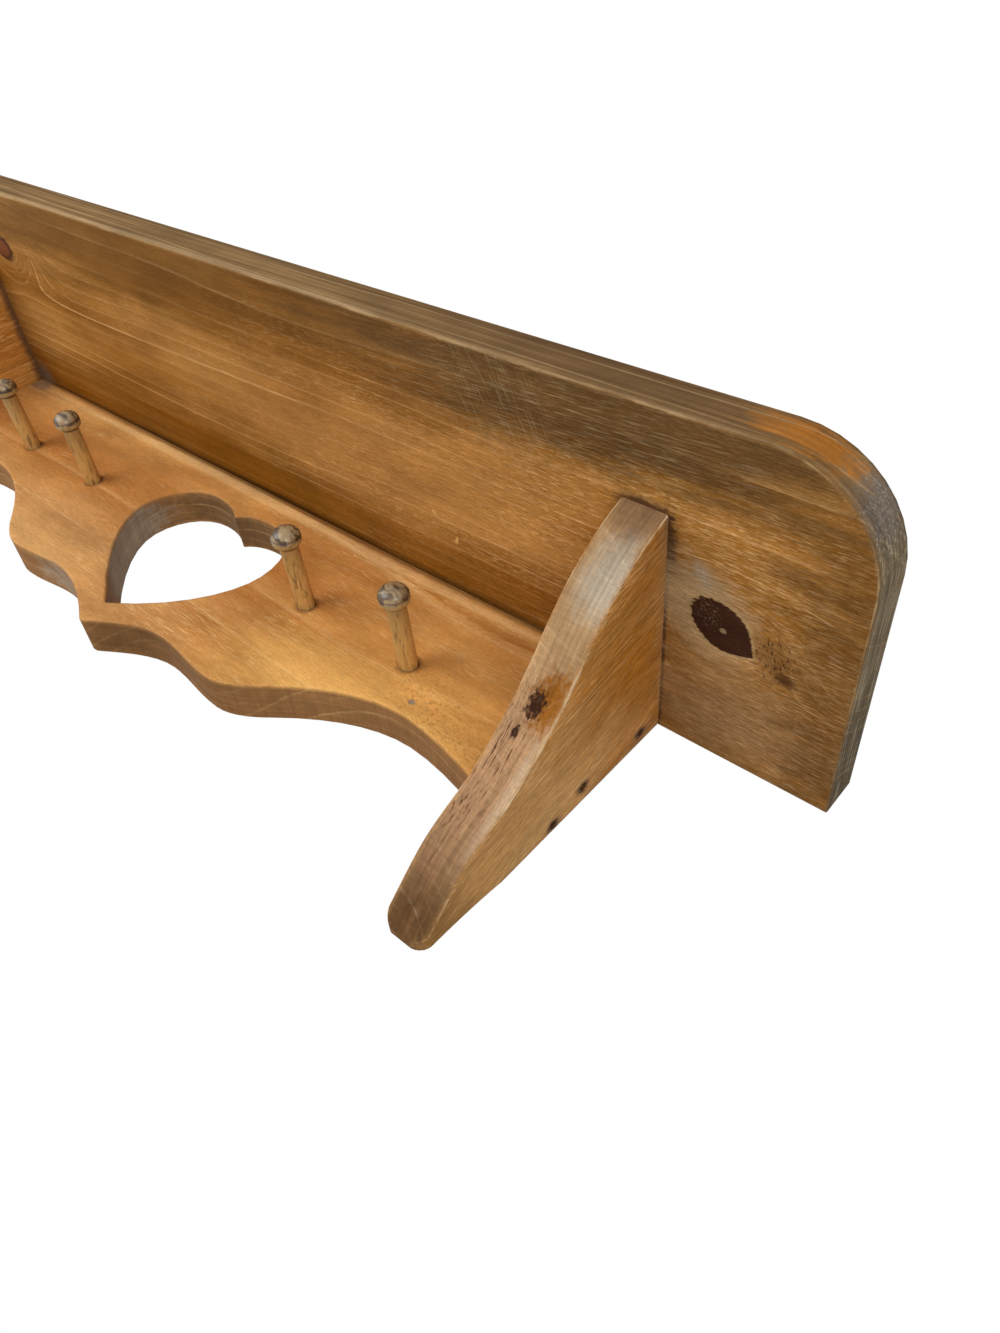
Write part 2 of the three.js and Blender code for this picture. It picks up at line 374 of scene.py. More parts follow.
class PineGraph(Graph):
    """The nodes of one stained pine finish, from the grain of the log to the worn edges.

    The four numbers of a MapRange node are the ends of what comes in and of what goes out.

    Attributes:
        finish: the finish that they show.
        place: the place on the object, in millimetres.
        log: the place in the log: along it, then on the two other axes.
        edge: 1 on the sawn edges and 0 on the broad faces.
    """

    def __init__(self, owner: bpy.types.Material, finish: StainedPine) -> None:
        """Takes the material and finds the places that its patterns read.

        Args:
            owner: the material.
            finish: the finish that it shows.
        """
        super().__init__(owner)
        self.finish = finish
        self.place = self.millimetres()
        self.log = self.place_in_log()
        self.edge = self.add("Attribute", attribute_name="edge", out="Fac")

    def build(self) -> None:
        """Lays the figure, the sawn edges, the patches and the wear, and shades them."""
        finish = self.finish
        line, part, year = self.rings()
        colour, shade, rough, height = self.figure(line, part, year)
        colour, lines = self.sawn(colour)
        colour = self.patched(colour)
        shade = self.add("Math", shade, lines, **TIMES)
        rim = self.add("Math", self.edge, line, **TIMES)
        rim = self.add("Math", rim, finish.edge_figure, **TIMES)
        colour = self.add("Mix", rim, at={UNDER: colour, OVER: linear(finish.stain.worn)}, **BLEND)
        colour = self.add("Mix", 1.0, at={UNDER: colour, OVER: shade}, **SHADED)
        colour, rough = self.rubbed(colour, rough)
        depth = self.add("MapRange", self.edge, 0.0, 1.0, 0.45, 0.2)
        bump = self.add("Bump", depth, 0.5 * MM, at={"Height": height})
        look = {"Base Color": colour, "Roughness": rough, "IOR": WAXED_IOR, "Normal": bump}
        look["Specular IOR Level"] = finish.gloss
        self.add("OutputMaterial", self.add("BsdfPrincipled", at=look))

    def place_in_log(self) -> Value:
        """Turns the place on the object into one in the log.

        Returns:
            The place along the log, then on the two other axes.
        """
        cut = self.finish.cut
        place = self.place
        if cut.tilt:
            turn = {"Angle": math.radians(cut.tilt)}
            place = self.add("VectorRotate", place, at=turn, rotation_type=f"{cut.thin.name}_AXIS")
        split = self.add("SeparateXYZ", place).node.outputs
        across = [axis for axis in Axis if axis is not cut.along]
        return self.add("CombineXYZ", *(split[axis.value] for axis in (cut.along, *across)))

    def noise(self, marks: Point, **more: float) -> Value:
        """Makes noise drawn out along the grain.

        Args:
            marks: the length and width of its marks in millimetres, and the noise's own number.
            **more: the noise node's other inputs, such as Detail.

        Returns:
            Noise around 0.5.
        """
        length, width, number = marks
        offset = self.finish.cut.seed * SEED_STEP + number * SHIFT_STEP
        stretch = (1 / length, 1 / width, 1 / width)
        shift = tuple(offset * share for share in SHIFT_SHARES)
        drawn = self.add("VectorMath", self.log, stretch, shift, **TIMES_PLUS)
        return self.add("TexNoise", drawn, at={"Scale": 1.0, "Detail": 2.0, **more})

    def rings(self) -> tuple[Value, Value, Value]:
        """Draws the year rings, bent by the wandering grain and the knots.

        Returns:
            The pale late wood line, the share of the year, and a tone for each year.
        """
        cut = self.finish.cut
        from_heart = self.add("VectorMath", self.log, (0.0, *cut.heart), operation="SUBTRACT")
        flat = self.add("VectorMath", from_heart, (0.0, 1.0, 1.0), **TIMES)
        radius = self.add("VectorMath", flat, operation="LENGTH", out="Value")
        sway = self.noise(SWAY, Detail=1.0)
        radius = self.add("Math", sway, 2 * cut.sway, radius, **TIMES_PLUS)
        radius = self.add("Math", self.noise(WANDER), WANDER_SHARE * cut.ring, radius, **TIMES_PLUS)
        for knot in self.finish.knots:
            reach = {"Scale": knot.reach}
            near = self.add("Mapping", self.place, knot.centre, at=reach, vector_type="TEXTURE")
            away = self.add("VectorMath", near, operation="LENGTH", out="Value")
            away = self.add("Math", away, KNOT_FALL, operation="POWER")
            bulge = self.add("Math", self.add("Math", away, -1.0, **TIMES), operation="EXPONENT")
            radius = self.add("Math", bulge, knot.lift, radius, **TIMES_PLUS)
        years = self.add("Math", radius, 1 / cut.ring, **TIMES)
        whole = self.add("Math", years, operation="FLOOR")
        year = self.add("TexWhiteNoise", at={"W": whole}, noise_dimensions="1D")
        part = self.add("Math", years, operation="FRACT")
        begins, full, falls, ends = LATE_WOOD
        rise = self.add("MapRange", part, begins, full, 0.0, 1.0, **SMOOTH)
        fall = self.add("MapRange", part, falls, ends, 1.0, 0.0, **SMOOTH)
        line = self.add("Math", rise, fall, **TIMES)
        # The line is strong in some years and weak in others, and broken along its length.
        strong = self.add("MapRange", year, 0.2, 0.9, 0.2, 1.0)
        broken = self.add("MapRange", self.noise(LINE_BREAKS), 0.36, 0.56, 0.2, 1.0)
        line = self.add("Math", line, strong, **TIMES)
        return self.add("Math", line, broken, **TIMES), part, year

    def figure(
        self, line: Value, part: Value, year: Value
    ) -> tuple[Value, Value, Value, Value]:
        """Colours the figure: broad tones, late wood lines, fibres and pores.

        Args:
            line: the pale late wood line.
            part: the share of the year.
            year: a tone for each year.

        Returns:
            The colour, the shade over it, the roughness and the height of the surface.
        """
        finish, stain = self.finish, self.finish.stain
        broad = self.noise(BROAD_TONES, Detail=3.0)
        broad = self.add("Math", year, 0.12, broad, **TIMES_PLUS)
        deep = self.add("MapRange", broad, 0.38, 0.58, 1.0, 0.0, **SMOOTH)
        pale = self.add("MapRange", broad, 0.54, 0.76, 0.0, 1.0, **SMOOTH)
        soft = self.add("MapRange", part, 0.0, 0.6, 0.30, 0.0)
        # Real fibres and pores are finer than the picture can hold, so these are drawn wider.
        length, width = finish.fibre_size
        fibre = self.noise((length, width, FIBRE_SHIFT), Detail=3.0)
        fuzz = self.noise((0.3 * length, 0.9 * width, FUZZ_SHIFT))
        fibre = self.add("Mix", 0.4, at={FIRST: fibre, SECOND: fuzz})
        pore = self.noise((*finish.pore_size, PORE_SHIFT), Detail=1.0)
        pore = self.add("MapRange", pore, 0.57, 0.605, 0.0, 1.0, **SMOOTH)
        crowd = self.add("MapRange", self.noise(PORE_CROWDS), 0.42, 0.62, 0.3, 1.0)
        speck = self.add("MapRange", self.noise(SPECKS, Detail=0.0), 0.74, 0.80, 0.0, 0.7)
        # Fibres and pores are fainter on the sawn edges, and where the finish lets them fade.
        fine = self.add("MapRange", self.edge, 0.0, 1.0, 1.0, 0.35)
        ahead = self.add("SeparateXYZ", self.log)
        ahead = self.add("MapRange", ahead, *finish.fibre_fade, 0.3, 1.0)
        fine = self.add("Math", fine, ahead, **TIMES)
        pore = self.add("Math", self.add("Math", pore, crowd, **TIMES), fine, **TIMES)
        colour: Value = linear(stain.mid)
        for share, mask, tone in (
            (0.85, deep, stain.dark),
            (0.85, pale, stain.light),
            (1.0, soft, stain.dark),
            (finish.figure, line, stain.line),
            (finish.fleck, pore, stain.line),
            (0.8, speck, stain.dark),
        ):
            cover = self.add("Math", mask, share, **TIMES)
            colour = self.add("Mix", cover, at={UNDER: colour, OVER: linear(tone)}, **BLEND)
        shade = self.add("MapRange", fibre, 0.35, 0.65, -finish.fibre, finish.fibre)
        shade = self.add("Math", shade, fine, 1.0, **TIMES_PLUS)
        cloud = self.add("MapRange", self.noise(CLOUDS), 0.3, 0.7, 0.86, 1.14)
        shade = self.add("Math", shade, cloud, **TIMES)
        rough = self.add("MapRange", fibre, 0.3, 0.7, 0.66, 0.50)
        rough = self.add("Mix", self.edge, at={FIRST: rough, SECOND: finish.edge_rough})
        # Pores and late wood lie a little below the fibres.
        height = self.add("Math", line, -0.4, fibre, **TIMES_PLUS)
        height = self.add("Math", pore, -0.5, height, **TIMES_PLUS)
        return colour, shade, rough, height

    def sawn(self, colour: Value) -> tuple[Value, Value]:
        """Gives the sawn edges the colour that they have taken, and draws fine lines for them.

        Args:
            colour: the colour so far.

        Returns:
            The colour with that of the edges, and the shade of the lines.
        """
        finish = self.finish
        shade: Value = 1.0
        # Each line's strength, and its marks in a millimetre through the thickness and along it.
        for strength, thin, wide in zip(finish.edge_lines, (0.75, 0.05), (0.012, 0.8)):
            marks = tuple(thin if axis is finish.cut.thin else wide for axis in Axis)
            drawn = self.add("VectorMath", self.place, marks, **TIMES)
            line = self.add("TexNoise", drawn, at={"Scale": 1.0, "Detail": 3.0, "Distortion": 0.5})
            line = self.add("MapRange", line, 0.3, 0.7, 1 - strength, 1 + strength)
            shade = self.add("Math", line, shade, **TIMES)
        cover = self.add("Math", self.edge, finish.edge_cover, **TIMES)
        colour = self.add("Mix", cover, at={UNDER: colour, OVER: linear(finish.edge)}, **BLEND)
        return colour, self.add("Mix", self.edge, at={FIRST: 1.0, SECOND: shade})

    def patched(self, colour: Value) -> Value:
        """Lays the patches over the figure, one after another.

        Args:
            colour: the colour under them.

        Returns:
            The colour with its patches.
        """
        face = self.add("Math", 1.0, self.edge, operation="SUBTRACT")
        sides = {Side.EDGE: self.edge, Side.FACE: face}
        # Patches with marks of one size share their noise, which keeps the shader small.
        noises = {
            bits: self.noise((*bits, PATCH_SHIFT + number))
            for number, bits in enumerate(sorted({patch.bits for patch in self.finish.patches}))
        }
        for patch in self.finish.patches:
            near = self.add(
                "Mapping", self.place, patch.centre, patch.angles, patch.radii, vector_type="TEXTURE"
            )
            away = self.add("VectorMath", near, operation="LENGTH", out="Value")
            if patch.outline is Outline.DROP:
                # A drop is round behind its middle and comes to a point ahead of it.
                forward, side, up = self.add("SeparateXYZ", near).node.outputs
                side = self.add("Math", side, operation="ABSOLUTE")
                point = self.add("Math", forward, forward, side, **TIMES_PLUS)
                point = self.add("Math", point, self.add("Math", up, operation="ABSOLUTE"))
                ahead = self.add("Math", forward, 0.0, operation="GREATER_THAN")
                away = self.add("Mix", ahead, at={FIRST: away, SECOND: point})
            away = self.add("Math", noises[patch.bits], 4 * patch.ragged, away, **TIMES_PLUS)
            rim = 1 + 2 * patch.ragged
            ends = (rim - patch.soft, rim + patch.soft)
            cover = self.add("MapRange", away, *ends, patch.strength, 0.0, **SMOOTH)
            if patch.side is not Side.ANY:
                cover = self.add("Math", cover, sides[patch.side], **TIMES)
            if patch.marks is not None:
                cover = self.broken_up(patch, cover)
            over = linear(patch.colour)
            colour = self.add("Mix", cover, at={UNDER: colour, OVER: over}, **BLEND)
        return colour

    def broken_up(self, patch: Patch, cover: Value) -> Value:
        """Breaks a patch up into separate marks along its own first axis.

        Args:
            patch: the patch.
            cover: how much the whole patch covers.

        Returns:
            How much the marks cover.
        """
        own = self.add("Mapping", self.place, patch.centre, patch.angles, vector_type="TEXTURE")
        length, width = patch.marks
        drawn = self.add("VectorMath", own, (1 / length, 1 / width, 1 / width), **TIMES)
        mark = self.add("TexNoise", drawn, at={"Scale": 1.0, "Detail": 2.0})
        mark = self.add("MapRange", mark, 0.54, 0.64, 0.0, 1.0)
        return self.add("Math", cover, mark, **TIMES)

    def rubbed(self, colour: Value, rough: Value) -> tuple[Value, Value]:
        """Wears the edges down to bare wood.

        Args:
            colour: the colour so far.
            rough: the roughness so far.

        Returns:
            The colour and roughness with the worn edges.
        """
        wear, worn = self.finish.wear, linear(self.finish.stain.worn)
        arris = self.add("Attribute", attribute_name="arris", out="Fac")
        chips = self.noise(WORN_CHIPS, Detail=4.0)
        reach = self.add("MapRange", chips, 0.34, 0.66, -0.6 * wear, 1.2 * wear)
        bare = self.add("Math", reach, arris, operation="SUBTRACT")
        bare = self.add("MapRange", bare, -0.3, 0.3, 0.0, 0.8, **SMOOTH)
        kept = self.add("MapRange", self.noise(WEAR_GAPS), 0.35, 0.6, 0.25, 1.0)
        bare = self.add("Math", bare, kept, **TIMES)
        colour = self.add("Mix", bare, at={UNDER: colour, OVER: worn}, **BLEND)
        return colour, self.add("Math", bare, 0.14, rough, **TIMES_PLUS)


@dataclass(frozen=True)
class TurnedWood:
    """Turned beech under the same stain; the heads are darkened and polished by use.

    Attributes:
        name: the material's name.
        base: where the head begins, as a distance from the wall in millimetres.
        dark_lines: for each dark line round a peg, how far from the head's base it lies towards the
        room, its width in millimetres and its strength; the one in the corner under the head is
        painted shade.
    """

    name: str
    base: float
    dark_lines: tuple[Point, ...] = ((4.0, 0.5, 0.6), (-0.3, 1.1, 0.9))

    def material(self) -> bpy.types.Material:
        """Builds the material.

        Returns:
            The finished material.
        """
        made = bpy.data.materials.new(self.name)
        graph = Graph(made)
        place = graph.millimetres()
        # The streaks, the fibres and the swirls on the heads, in marks per millimetre.
        noises = []
        for marks, detail, distortion in (
            ((0.8, 0.11, 0.8), 4.0, 0.9),
            ((2.2, 0.16, 2.2), 2.0, 0.0),
            ((0.15, 0.2, 0.26), 1.0, 1.2),
        ):
            drawn = graph.add("VectorMath", place, marks, **TIMES)
            inputs = {"Scale": 1.0, "Detail": detail, "Distortion": distortion}
            noises.append(graph.add("TexNoise", drawn, at=inputs))
        streak, fibre, swirl = noises
        deep = graph.add("MapRange", streak, 0.54, 0.68, 0.0, 0.7, **SMOOTH)
        tones = {UNDER: linear("#D4AA66"), OVER: linear("#6A5030")}
        colour = graph.add("Mix", deep, at=tones, **BLEND)
        forward = graph.add("SeparateXYZ", place, out="Y")
        # The shaft is darker under the head: stain where fingers never reach, and painted shade under the
        # head.
        stain_and_shade = graph.add("MapRange", forward, -self.base + 16.0, -self.base, 0.0, 0.55)
        colour = graph.add("Mix", stain_and_shade, at={UNDER: colour, OVER: linear("#7C5E38")}, **BLEND)
        # The swirl on the dome is end grain; its pale bands are partly a painted reflection.
        swirl = graph.add("MapRange", swirl, 0.38, 0.62, 0.0, 1.0, **SMOOTH)
        tones = {UNDER: linear("#4A3A2C"), OVER: linear("#9E8460")}
        swirl_and_glint = graph.add("Mix", swirl, at=tones, **BLEND)
        dome = (-self.base - 2.2, -self.base - 3.4)
        top = graph.add("MapRange", forward, *dome, 0.0, 0.95, **SMOOTH)
        colour = graph.add("Mix", top, at={UNDER: colour, OVER: swirl_and_glint}, **BLEND)
        # A dark line in the turned line under the dome, and painted shade in the corner under the head.
        for line, width, strength in self.dark_lines:
            near = graph.add("Math", forward, self.base + line, operation="ADD")
            near = graph.add("Math", near, operation="ABSOLUTE")
            near = graph.add("MapRange", near, 0.2 * width, width, strength, 0.0)
            colour = graph.add("Mix", near, at={UNDER: colour, OVER: linear("#2E2116")}, **BLEND)
        shade = graph.add("MapRange", fibre, 0.3, 0.7, 0.84, 1.14)
        colour = graph.add("Mix", 1.0, at={UNDER: colour, OVER: shade}, **SHADED)
        rough = graph.add("MapRange", top, 0.0, 1.0, 0.46, 0.18)
        bump = graph.add("Bump", 0.3, 0.3 * MM, at={"Height": fibre})
        look = {"Base Color": colour, "Roughness": rough, "IOR": POLISHED_IOR, "Normal": bump}
        graph.add("OutputMaterial", graph.add("BsdfPrincipled", at=look))
        return made


@dataclass(frozen=True)
class OldIron:
    """Cut iron nails, black with old rust in the pits.

    Attributes:
        name: the material's name.
        pits: how many rust pits there are in a metre.
    """

    name: str
    pits: float = 900.0

    def material(self) -> bpy.types.Material:
        """Builds the material.

        Returns:
            The finished material.
        """
        made = bpy.data.materials.new(self.name)
        graph = Graph(made)
        place = graph.add("TexCoord", out="Object")
        rust = graph.add("TexNoise", place, at={"Scale": self.pits, "Detail": 3.0})
        red = graph.add("MapRange", rust, 0.48, 0.62, 0.0, 1.0, **SMOOTH)
        tones = {UNDER: linear("#1E1A18"), OVER: linear("#4A2C1C")}
        colour = graph.add("Mix", red, at=tones, **BLEND)
        rough = graph.add("MapRange", red, 0.0, 1.0, 0.5, 0.85)
        bump = graph.add("Bump", 0.4, 0.1 * MM, at={"Height": rust})
        look = {"Base Color": colour, "Roughness": rough, "Metallic": 0.6, "Normal": bump}
        graph.add("OutputMaterial", graph.add("BsdfPrincipled", at=look))
        return made


@dataclass
class Board:
    """A board that shows over its CAD node, cut finer so that its edges can wear.

    Attributes:
        node: the CAD node that it stands for.
        name: the name of the piece.
        slot: the record's material slot; not used.
        finish: its material.
        cell: the size of its cells over the broad faces, in millimetres.
        row: the size of its cells through the thickness, in millimetres.
    """

    node: str
    name: str
    slot: str
    finish: StainedPine
    cell: float = 6.0
    row: float = 2.4

    def build(self) -> bpy.types.Object:
        """Makes the piece from the node's own shape and dresses it.

        Returns:
            The finished piece.
        """
        shape = bmesh.new()
        shape.from_mesh(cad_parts[self.node].data)
        bmesh.ops.remove_doubles(shape, verts=shape.verts, dist=MERGE_WITHIN)
        tree = self.arris_tree(shape)
        low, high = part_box(self.node)
        for axis in Axis:
            pitch = (self.row if axis is self.finish.cut.thin else self.cell) * MM
            steps = max(1, round((high[axis.value] - low[axis.value]) / pitch))
            across = Vector([1.0 if other is axis else 0.0 for other in Axis])
            for step in range(1, steps):
                level = low.lerp(high, step / steps)[axis.value]
                bmesh.ops.bisect_plane(
                    shape,
                    geom=shape.verts[:] + shape.edges[:] + shape.faces[:],
                    dist=CUT_WITHIN,
                    plane_co=across * level,
                    plane_no=across,
                )
        arris = shape.verts.layers.float.new("arris")
        sawn = shape.verts.layers.float.new("edge")
        for vert in shape.verts:
            vert[arris] = tree.find(vert.co)[2] * PER_METRE
            flat = sum(abs(face.normal[self.finish.cut.thin.value]) for face in vert.link_faces)
            vert[sawn] = 1.0 - flat / len(vert.link_faces)
        for face in shape.faces:
            face.smooth = True
        for edge in shape.edges:
            edge.smooth = edge.calc_face_angle(0.0) < SHARP_ANGLE
        piece = solid(self.name, shape)
        for old in ("custom_normal", "UVMap"):
            if old in piece.data.attributes:
                piece.data.attributes.remove(piece.data.attributes[old])
        piece.data.materials.append(self.finish.material())
        normals = piece.modifiers.new("even_normals", "WEIGHTED_NORMAL")
        normals.keep_sharp = True
        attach(piece, "root")
        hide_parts(self.node)
        return piece

    def arris_tree(self, shape: bmesh.types.BMesh) -> KDTree:
        """Finds the board's eased edges and sets points along them.

        Args:
            shape: the merged shape of the board.

        Returns:
            A tree of points, about a millimetre apart, on the middle of each eased edge.
        """
        least, most = EASED_TURN
        points = []
        for edge in shape.edges:
            tilts = [abs(face.normal[self.finish.cut.thin.value]) for face in edge.link_faces]
            if len(tilts) != 2 or min(tilts) <= least or max(tilts) >= most:
                continue
            if abs(tilts[0] - tilts[1]) > EASED_DIFFERENCE:
                start, end = (vert.co for vert in edge.verts)
                count = max(1, math.ceil((end - start).length / MM))
                points += [start.lerp(end, step / count) for step in range(count + 1)]
        tree = KDTree(len(points))
        for number, point in enumerate(points):
            tree.insert(point, number)
        tree.balance()
        return tree


@dataclass
class Peg:
    """A turned peg with a low mushroom head, glued in the back board.

    Attributes:
        number: which of the four it is, from the left.
        lean: how far it leans, in degrees about the vertical and about the shelf's length.
        shaft: the radius of its shaft, in millimetres.
        head: the radius of its head.
        rim: the straight part of the head's edge.
        tip: how thick the head is.
        clearance: how far its dome stays inside the CAD node's box.
        dome_turns: how many rings of faces its dome has.
        root: how deep in the board it leans from.
        steps: how many faces go round it.
    """

    number: int
    lean: tuple[float, float]
    shaft: float = 4.0
    head: float = 6.2
    rim: float = 4.0
    tip: float = 8.2
    clearance: float = 0.05
    dome_turns: int = 7
    root: float = 7.0
    steps: int = 48

    def build(self, wood: bpy.types.Material) -> bpy.types.Object:
        """Turns the peg in its place.

        Args:
            wood: the finish that all four pegs share.

        Returns:
            The finished piece.
        """
        node = f"peg_{self.number}"
        low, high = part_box(node)
        middle = (low + high) / 2
        shape = bmesh.new()
        verts = [
            shape.verts.new((middle.x + radius * MM, high.y - reach * MM, middle.z))
            for radius, reach in self.profile((high.y - low.y) * PER_METRE)
        ]
        for start, end in zip(verts, verts[1:]):
            shape.edges.new((start, end))
        bmesh.ops.spin(
            shape,
            geom=shape.verts[:] + shape.edges[:],
            cent=middle,
            axis=(0, 1, 0),
            angle=math.tau,
            steps=self.steps,
            use_merge=True,
        )
        bmesh.ops.remove_doubles(shape, verts=shape.verts, dist=0.01 * MM)
        bmesh.ops.recalc_face_normals(shape, faces=shape.faces)
        foot = Vector((middle.x, high.y - self.root * MM, middle.z))
        for axis, angle in zip("ZX", self.lean):
            turn = Matrix.Rotation(math.radians(angle), 3, axis)
            bmesh.ops.rotate(shape, cent=foot, matrix=turn, verts=shape.verts)
        for face in shape.faces:
            face.smooth = True
        piece = solid(f"turned_peg_{self.number}", shape)
        piece.data.materials.append(wood)
        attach(piece, "root")
        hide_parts(node)
        return piece

    def profile(self, length: float) -> list[tuple[float, float]]:
        """Draws half the peg's outline, from its foot in the board to the top of its dome.

        Args:
            length: the peg's whole length, in millimetres.

        Returns:
            A radius and a distance from the foot for each point.
        """
        neck = length - self.tip
        shoulder = neck + self.rim
        rise = self.tip - self.rim - self.clearance
        points = [
            (0.0, 0.0),
            (self.shaft - 0.5, 0.0),
            (self.shaft, 0.5),
            (self.shaft, neck - 0.3),
            (self.shaft + 0.25, neck),
            (self.head - 0.8, neck + 0.2),
            (self.head - 0.3, neck + 0.7),
            (self.head - 0.05, neck + 1.6),
            (self.head, neck + 2.6),
            (self.head, shoulder),
        ]
        for turn in range(1, self.dome_turns):
            angle = math.pi / 2 * turn / self.dome_turns
            points.append((self.head * math.cos(angle), shoulder + rise * math.sin(angle)))
        return [*points, (0.0, shoulder + rise)]


@dataclass
class Nails:
    """The nails, which keep their CAD shape and get their iron.

    Attributes:
        prefixes: how the names of their nodes begin.
    """

    prefixes: tuple[str, ...] = ("side_nail_", "shelf_nail_")

    def dress(self, iron: bpy.types.Material) -> int:
        """Gives every nail its iron.

        Args:
            iron: the finish of the nails.

        Returns:
            How many nails there are.
        """
        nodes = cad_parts.items()
        nails = [piece for name, piece in nodes if name.startswith(self.prefixes)]
        for piece in nails:
            piece.data.materials.clear()
            piece.data.materials.append(iron)
        return len(nails)


@dataclass
class Studio:
    """The floor, the lamps and the plain white room.

    Attributes:
        floor_level: how far the floor lies below the shelf, in metres.
        floor_size: the side of the floor, in metres.
        floor_fade: how far from the shelf the floor begins to whiten and where it is white.
        room: how strongly the room lights the object.
        aim: where the lamps look, in metres.
    """

    floor_level: float = -1.7
    floor_size: float = 12.0
    floor_fade: tuple[float, float] = (0.4, 2.2)
    room: float = 0.38
    aim: Point = (0.1, -0.05, -0.05)

    def build(self) -> None:
        """Makes the floor, the lamps and the world."""
        self.floor()
        self.world()
        self.lamp("window_left", (-1.0, -1.4, -1.3), 1.7, 39.0)
        self.lamp("fill_right", (1.4, -1.0, -0.9), 1.1, 13.0)

    def floor(self) -> None:
        """Makes the pale floor, which keeps the shelf's shadow and is white far off."""
        shape = bmesh.new()
        bmesh.ops.create_grid(shape, x_segments=8, y_segments=8, size=self.floor_size / 2)
        bmesh.ops.translate(shape, verts=shape.verts, vec=(0, 0, self.floor_level))
        ground = solid("studio_floor", shape)
        paint = bpy.data.materials.new("matt_floor_paint")
        graph = Graph(paint)
        place = graph.add("TexCoord", out="Object")
        away = graph.add("VectorMath", place, (1, 1, 0), **TIMES)
        away = graph.add("VectorMath", away, operation="LENGTH", out="Value")
        far = graph.add("MapRange", away, *self.floor_fade, 0.5, 1.0, **SMOOTH)
        far = graph.add("Math", far, self.seen(graph), **TIMES)
        look = {"Base Color": linear("#EFEDEA"), "Roughness": 0.9}
        matt = graph.add("BsdfPrincipled", at=look)
        white = graph.add("Emission", WHITE, 1.0)
        graph.add("OutputMaterial", graph.add("MixShader", far, matt, white))
        ground.data.materials.append(paint)

    def world(self) -> None:
        """Makes the room: white where it is seen, and a soft even light on the object."""
        world = bpy.data.worlds.new("white_room")
        bpy.context.scene.world = world
        graph = Graph(world)
        tones = {UNDER: (self.room, self.room, self.room, 1.0), OVER: WHITE}
        colour = graph.add("Mix", self.seen(graph), at=tones, **BLEND)
        graph.add("OutputWorld", graph.add("Background", colour, 1.0))

    def seen(self, graph: Graph) -> Value:
        """Finds where a ray comes from the eye, a gloss or a glass.

        Args:
            graph: the nodes of the world or the floor.

        Returns:
            1 where it does and 0 elsewhere.
        """
        rays = graph.add("LightPath").node.outputs
        seen = graph.add("Math", rays["Is Camera Ray"], rays["Is Glossy Ray"], operation="MAXIMUM")
        return graph.add("Math", seen, rays["Is Transmission Ray"], operation="MAXIMUM")

    def lamp(self, name: str, place: Point, size: float, power: float) -> None:
        """Hangs a soft square lamp that looks at the shelf.

        Args:
            name: its name.
            place: where it hangs, in metres.
            size: its side, in metres.
            power: its power, in watts.
        """
        light = bpy.data.lights.new(name, "AREA")
        light.size = size
        light.energy = power
        hung = linked(name, light)
        hung.location = place
        aim = Vector(self.aim) - Vector(place)
        hung.rotation_euler = aim.to_track_quat("-Z", "Y").to_euler()


@dataclass(frozen=True)
class Viewpoint:
    """Where the picture was taken from.

    Attributes:
        place: the camera's place, in millimetres.
        right: the picture's right in the object's frame.
        down: the picture's down.
        forward: where the camera looks.
        lens: its focal length, in millimetres.
        film: the width of its frame, in millimetres.
    """

    place: Point = (378.7, -276.9, -229.6)
    right: Point = (0.74963, 0.07586, 0.6575)
    down: Point = (0.40987, 0.7268, -0.55115)
    forward: Point = (-0.51968, 0.68265, 0.51374)
    lens: float = 26.0
    film: float = 36.0

    def build(self) -> bpy.types.Object:
        """Makes the camera and gives it to the scene.

        Returns:
            The camera.
        """
        data = bpy.data.cameras.new("viewpoint")
        data.sensor_width = self.film
        data.lens = self.lens
        data.clip_start = 10 * MM
        camera = linked("viewpoint", data)
        turned = Matrix((self.right, -Vector(self.down), -Vector(self.forward))).transposed()
        camera.matrix_world = Matrix.Translation(Vector(self.place) * MM) @ turned.to_4x4()
        bpy.context.scene.camera = camera
        return camera


